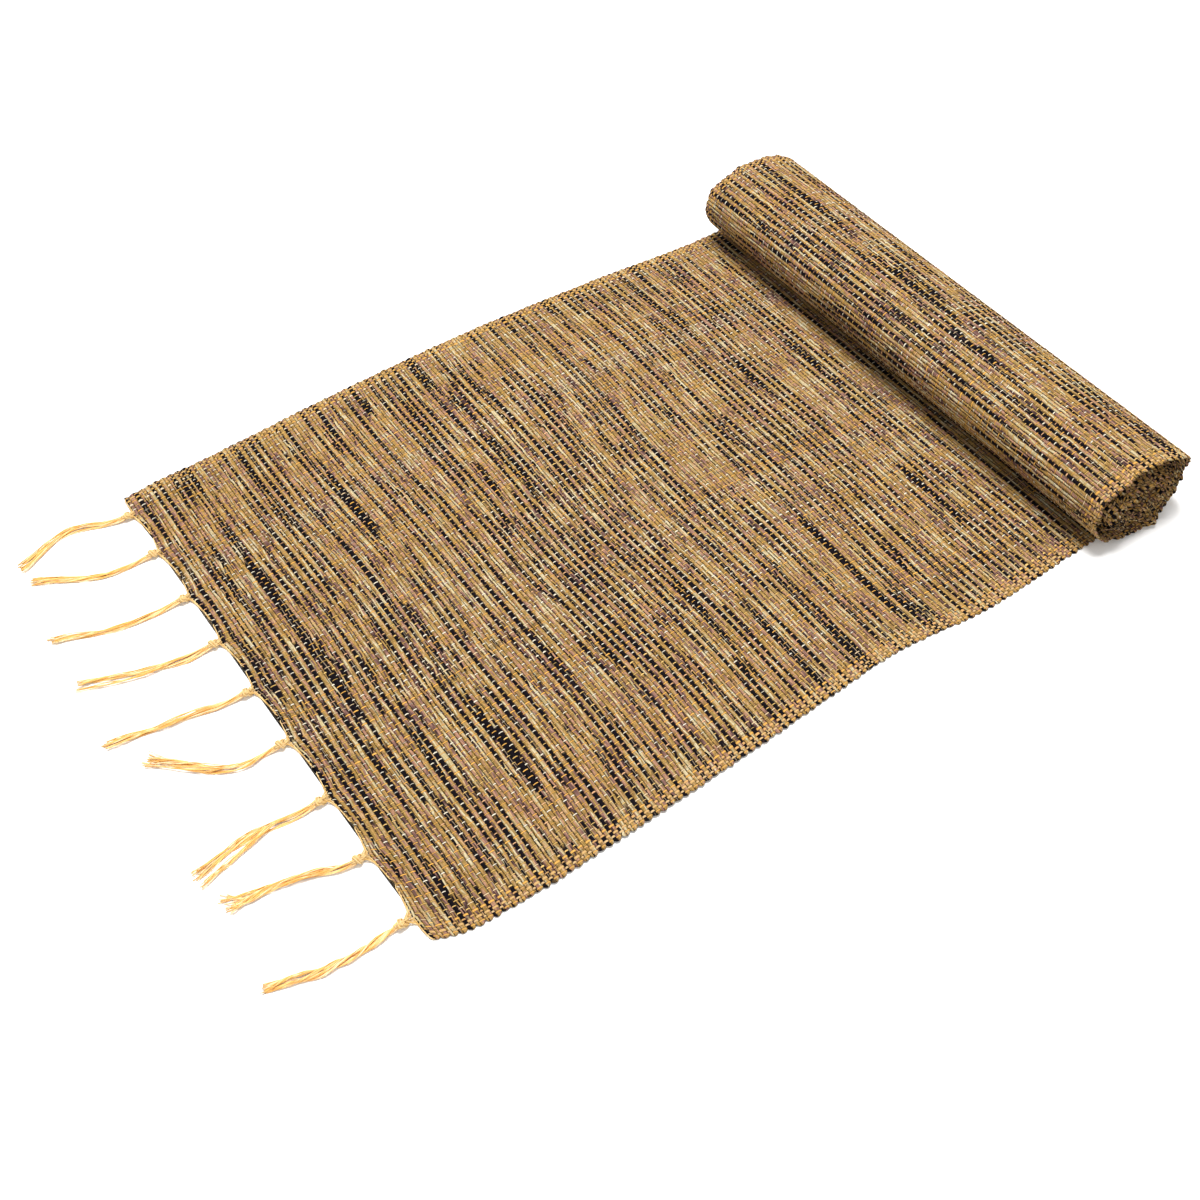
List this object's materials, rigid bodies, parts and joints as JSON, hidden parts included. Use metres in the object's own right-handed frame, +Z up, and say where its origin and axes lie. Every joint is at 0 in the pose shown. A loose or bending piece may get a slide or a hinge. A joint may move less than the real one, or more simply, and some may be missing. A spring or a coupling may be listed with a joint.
{
  "type": "table runner",
  "caption": "Hand-woven table runner with space-dyed weft and a knotted tassel fringe, one end laid flat and the rest rolled into an oval roll.",
  "frame": {"origin": "middle of the footprint, on the surface the runner lies on", "axes": "+X from the laid-out fringed end towards the roll, +Y across the cloth, +Z up"},
  "size_m": [0.5491, 0.33, 0.0452],
  "materials": {
    "cloth": "matte plain weave, space-dyed weft in black, tan, olive and mauve over golden warp",
    "warp_ends": "fine golden and cream yarn",
    "knots": "tightly drawn yarn",
    "tassels": "loose silky golden yarn with peach and cream strands"
  },
  "bodies": {
    "flat_cloth": {"flat_cloth": "cloth"},
    "roll": {"rolled_cloth": "cloth", "inner_gather_1": "warp_ends", "inner_gather_2": "warp_ends", "inner_gather_3": "warp_ends", "inner_gather_4": "warp_ends", "inner_gather_5": "warp_ends", "inner_gather_6": "warp_ends", "inner_gather_7": "warp_ends", "inner_gather_8": "warp_ends", "inner_gather_9": "warp_ends", "inner_knot_1": "knots", "inner_knot_2": "knots", "inner_knot_3": "knots", "inner_knot_4": "knots", "inner_knot_5": "knots", "inner_knot_6": "knots", "inner_knot_7": "knots", "inner_knot_8": "knots", "inner_knot_9": "knots", "inner_tassel_1": "tassels", "inner_tassel_2": "tassels", "inner_tassel_3": "tassels", "inner_tassel_4": "tassels", "inner_tassel_5": "tassels", "inner_tassel_6": "tassels", "inner_tassel_7": "tassels", "inner_tassel_8": "tassels", "inner_tassel_9": "tassels"},
    "knot_1": {"warp_gather_1": "warp_ends", "knot_1": "knots"},
    "tassel_1": {"tassel_1": "tassels"},
    "knot_2": {"warp_gather_2": "warp_ends", "knot_2": "knots"},
    "tassel_2": {"tassel_2": "tassels"},
    "knot_3": {"warp_gather_3": "warp_ends", "knot_3": "knots"},
    "tassel_3": {"tassel_3": "tassels"},
    "knot_4": {"warp_gather_4": "warp_ends", "knot_4": "knots"},
    "tassel_4": {"tassel_4": "tassels"},
    "knot_5": {"warp_gather_5": "warp_ends", "knot_5": "knots"},
    "tassel_5": {"tassel_5": "tassels"},
    "knot_6": {"warp_gather_6": "warp_ends", "knot_6": "knots"},
    "tassel_6": {"tassel_6": "tassels"},
    "knot_7": {"warp_gather_7": "warp_ends", "knot_7": "knots"},
    "tassel_7": {"tassel_7": "tassels"},
    "knot_8": {"warp_gather_8": "warp_ends", "knot_8": "knots"},
    "tassel_8": {"tassel_8": "tassels"},
    "knot_9": {"warp_gather_9": "warp_ends", "knot_9": "knots"},
    "tassel_9": {"tassel_9": "tassels"}
  },
  "joints": [
    {"name": "roll_over", "type": "hinge", "parent": "flat_cloth", "child": "roll", "pos_m": [0.20104, 0, 0.0013], "axis": [0, -1, 0], "range_deg": [0, 90]},
    {"name": "lift_1", "type": "hinge", "parent": "flat_cloth", "child": "knot_1", "pos_m": [-0.19896, -0.14867, 0.0013], "axis": [0, 1, 0], "range_deg": [0, 90]},
    {"name": "swing_1", "type": "hinge", "parent": "knot_1", "child": "tassel_1", "pos_m": [-0.20426, -0.14867, 0.0024], "axis": [0, 0, 1], "range_deg": [-17, 25]},
    {"name": "lift_2", "type": "hinge", "parent": "flat_cloth", "child": "knot_2", "pos_m": [-0.19896, -0.11, 0.0013], "axis": [0, 1, 0], "range_deg": [0, 90]},
    {"name": "swing_2", "type": "hinge", "parent": "knot_2", "child": "tassel_2", "pos_m": [-0.20426, -0.11, 0.0024], "axis": [0, 0, 1], "range_deg": [-5, 17]},
    {"name": "lift_3", "type": "hinge", "parent": "flat_cloth", "child": "knot_3", "pos_m": [-0.19896, -0.07233, 0.0013], "axis": [0, 1, 0], "range_deg": [0, 90]},
    {"name": "swing_3", "type": "hinge", "parent": "knot_3", "child": "tassel_3", "pos_m": [-0.20426, -0.07233, 0.0024], "axis": [0, 0, 1], "range_deg": [-25, 5]},
    {"name": "lift_4", "type": "hinge", "parent": "flat_cloth", "child": "knot_4", "pos_m": [-0.19896, -0.03367, 0.0013], "axis": [0, 1, 0], "range_deg": [0, 90]},
    {"name": "swing_4", "type": "hinge", "parent": "knot_4", "child": "tassel_4", "pos_m": [-0.20426, -0.03367, 0.0024], "axis": [0, 0, 1], "range_deg": [-4, 25]},
    {"name": "lift_5", "type": "hinge", "parent": "flat_cloth", "child": "knot_5", "pos_m": [-0.19896, 0.004, 0.0013], "axis": [0, 1, 0], "range_deg": [0, 90]},
    {"name": "swing_5", "type": "hinge", "parent": "knot_5", "child": "tassel_5", "pos_m": [-0.20426, 0.004, 0.0024], "axis": [0, 0, 1], "range_deg": [-14, 4]},
    {"name": "lift_6", "type": "hinge", "parent": "flat_cloth", "child": "knot_6", "pos_m": [-0.19896, 0.04067, 0.0013], "axis": [0, 1, 0], "range_deg": [0, 90]},
    {"name": "swing_6", "type": "hinge", "parent": "knot_6", "child": "tassel_6", "pos_m": [-0.20426, 0.04067, 0.0024], "axis": [0, 0, 1], "range_deg": [-10, 14]},
    {"name": "lift_7", "type": "hinge", "parent": "flat_cloth", "child": "knot_7", "pos_m": [-0.19896, 0.07733, 0.0013], "axis": [0, 1, 0], "range_deg": [0, 90]},
    {"name": "swing_7", "type": "hinge", "parent": "knot_7", "child": "tassel_7", "pos_m": [-0.20426, 0.07733, 0.0024], "axis": [0, 0, 1], "range_deg": [-15, 10]},
    {"name": "lift_8", "type": "hinge", "parent": "flat_cloth", "child": "knot_8", "pos_m": [-0.19896, 0.115, 0.0013], "axis": [0, 1, 0], "range_deg": [0, 90]},
    {"name": "swing_8", "type": "hinge", "parent": "knot_8", "child": "tassel_8", "pos_m": [-0.20426, 0.115, 0.0024], "axis": [0, 0, 1], "range_deg": [-3, 15]},
    {"name": "lift_9", "type": "hinge", "parent": "flat_cloth", "child": "knot_9", "pos_m": [-0.19896, 0.14867, 0.0013], "axis": [0, 1, 0], "range_deg": [0, 90]},
    {"name": "swing_9", "type": "hinge", "parent": "knot_9", "child": "tassel_9", "pos_m": [-0.20426, 0.14867, 0.0024], "axis": [0, 0, 1], "range_deg": [-25, 3]}
  ]
}
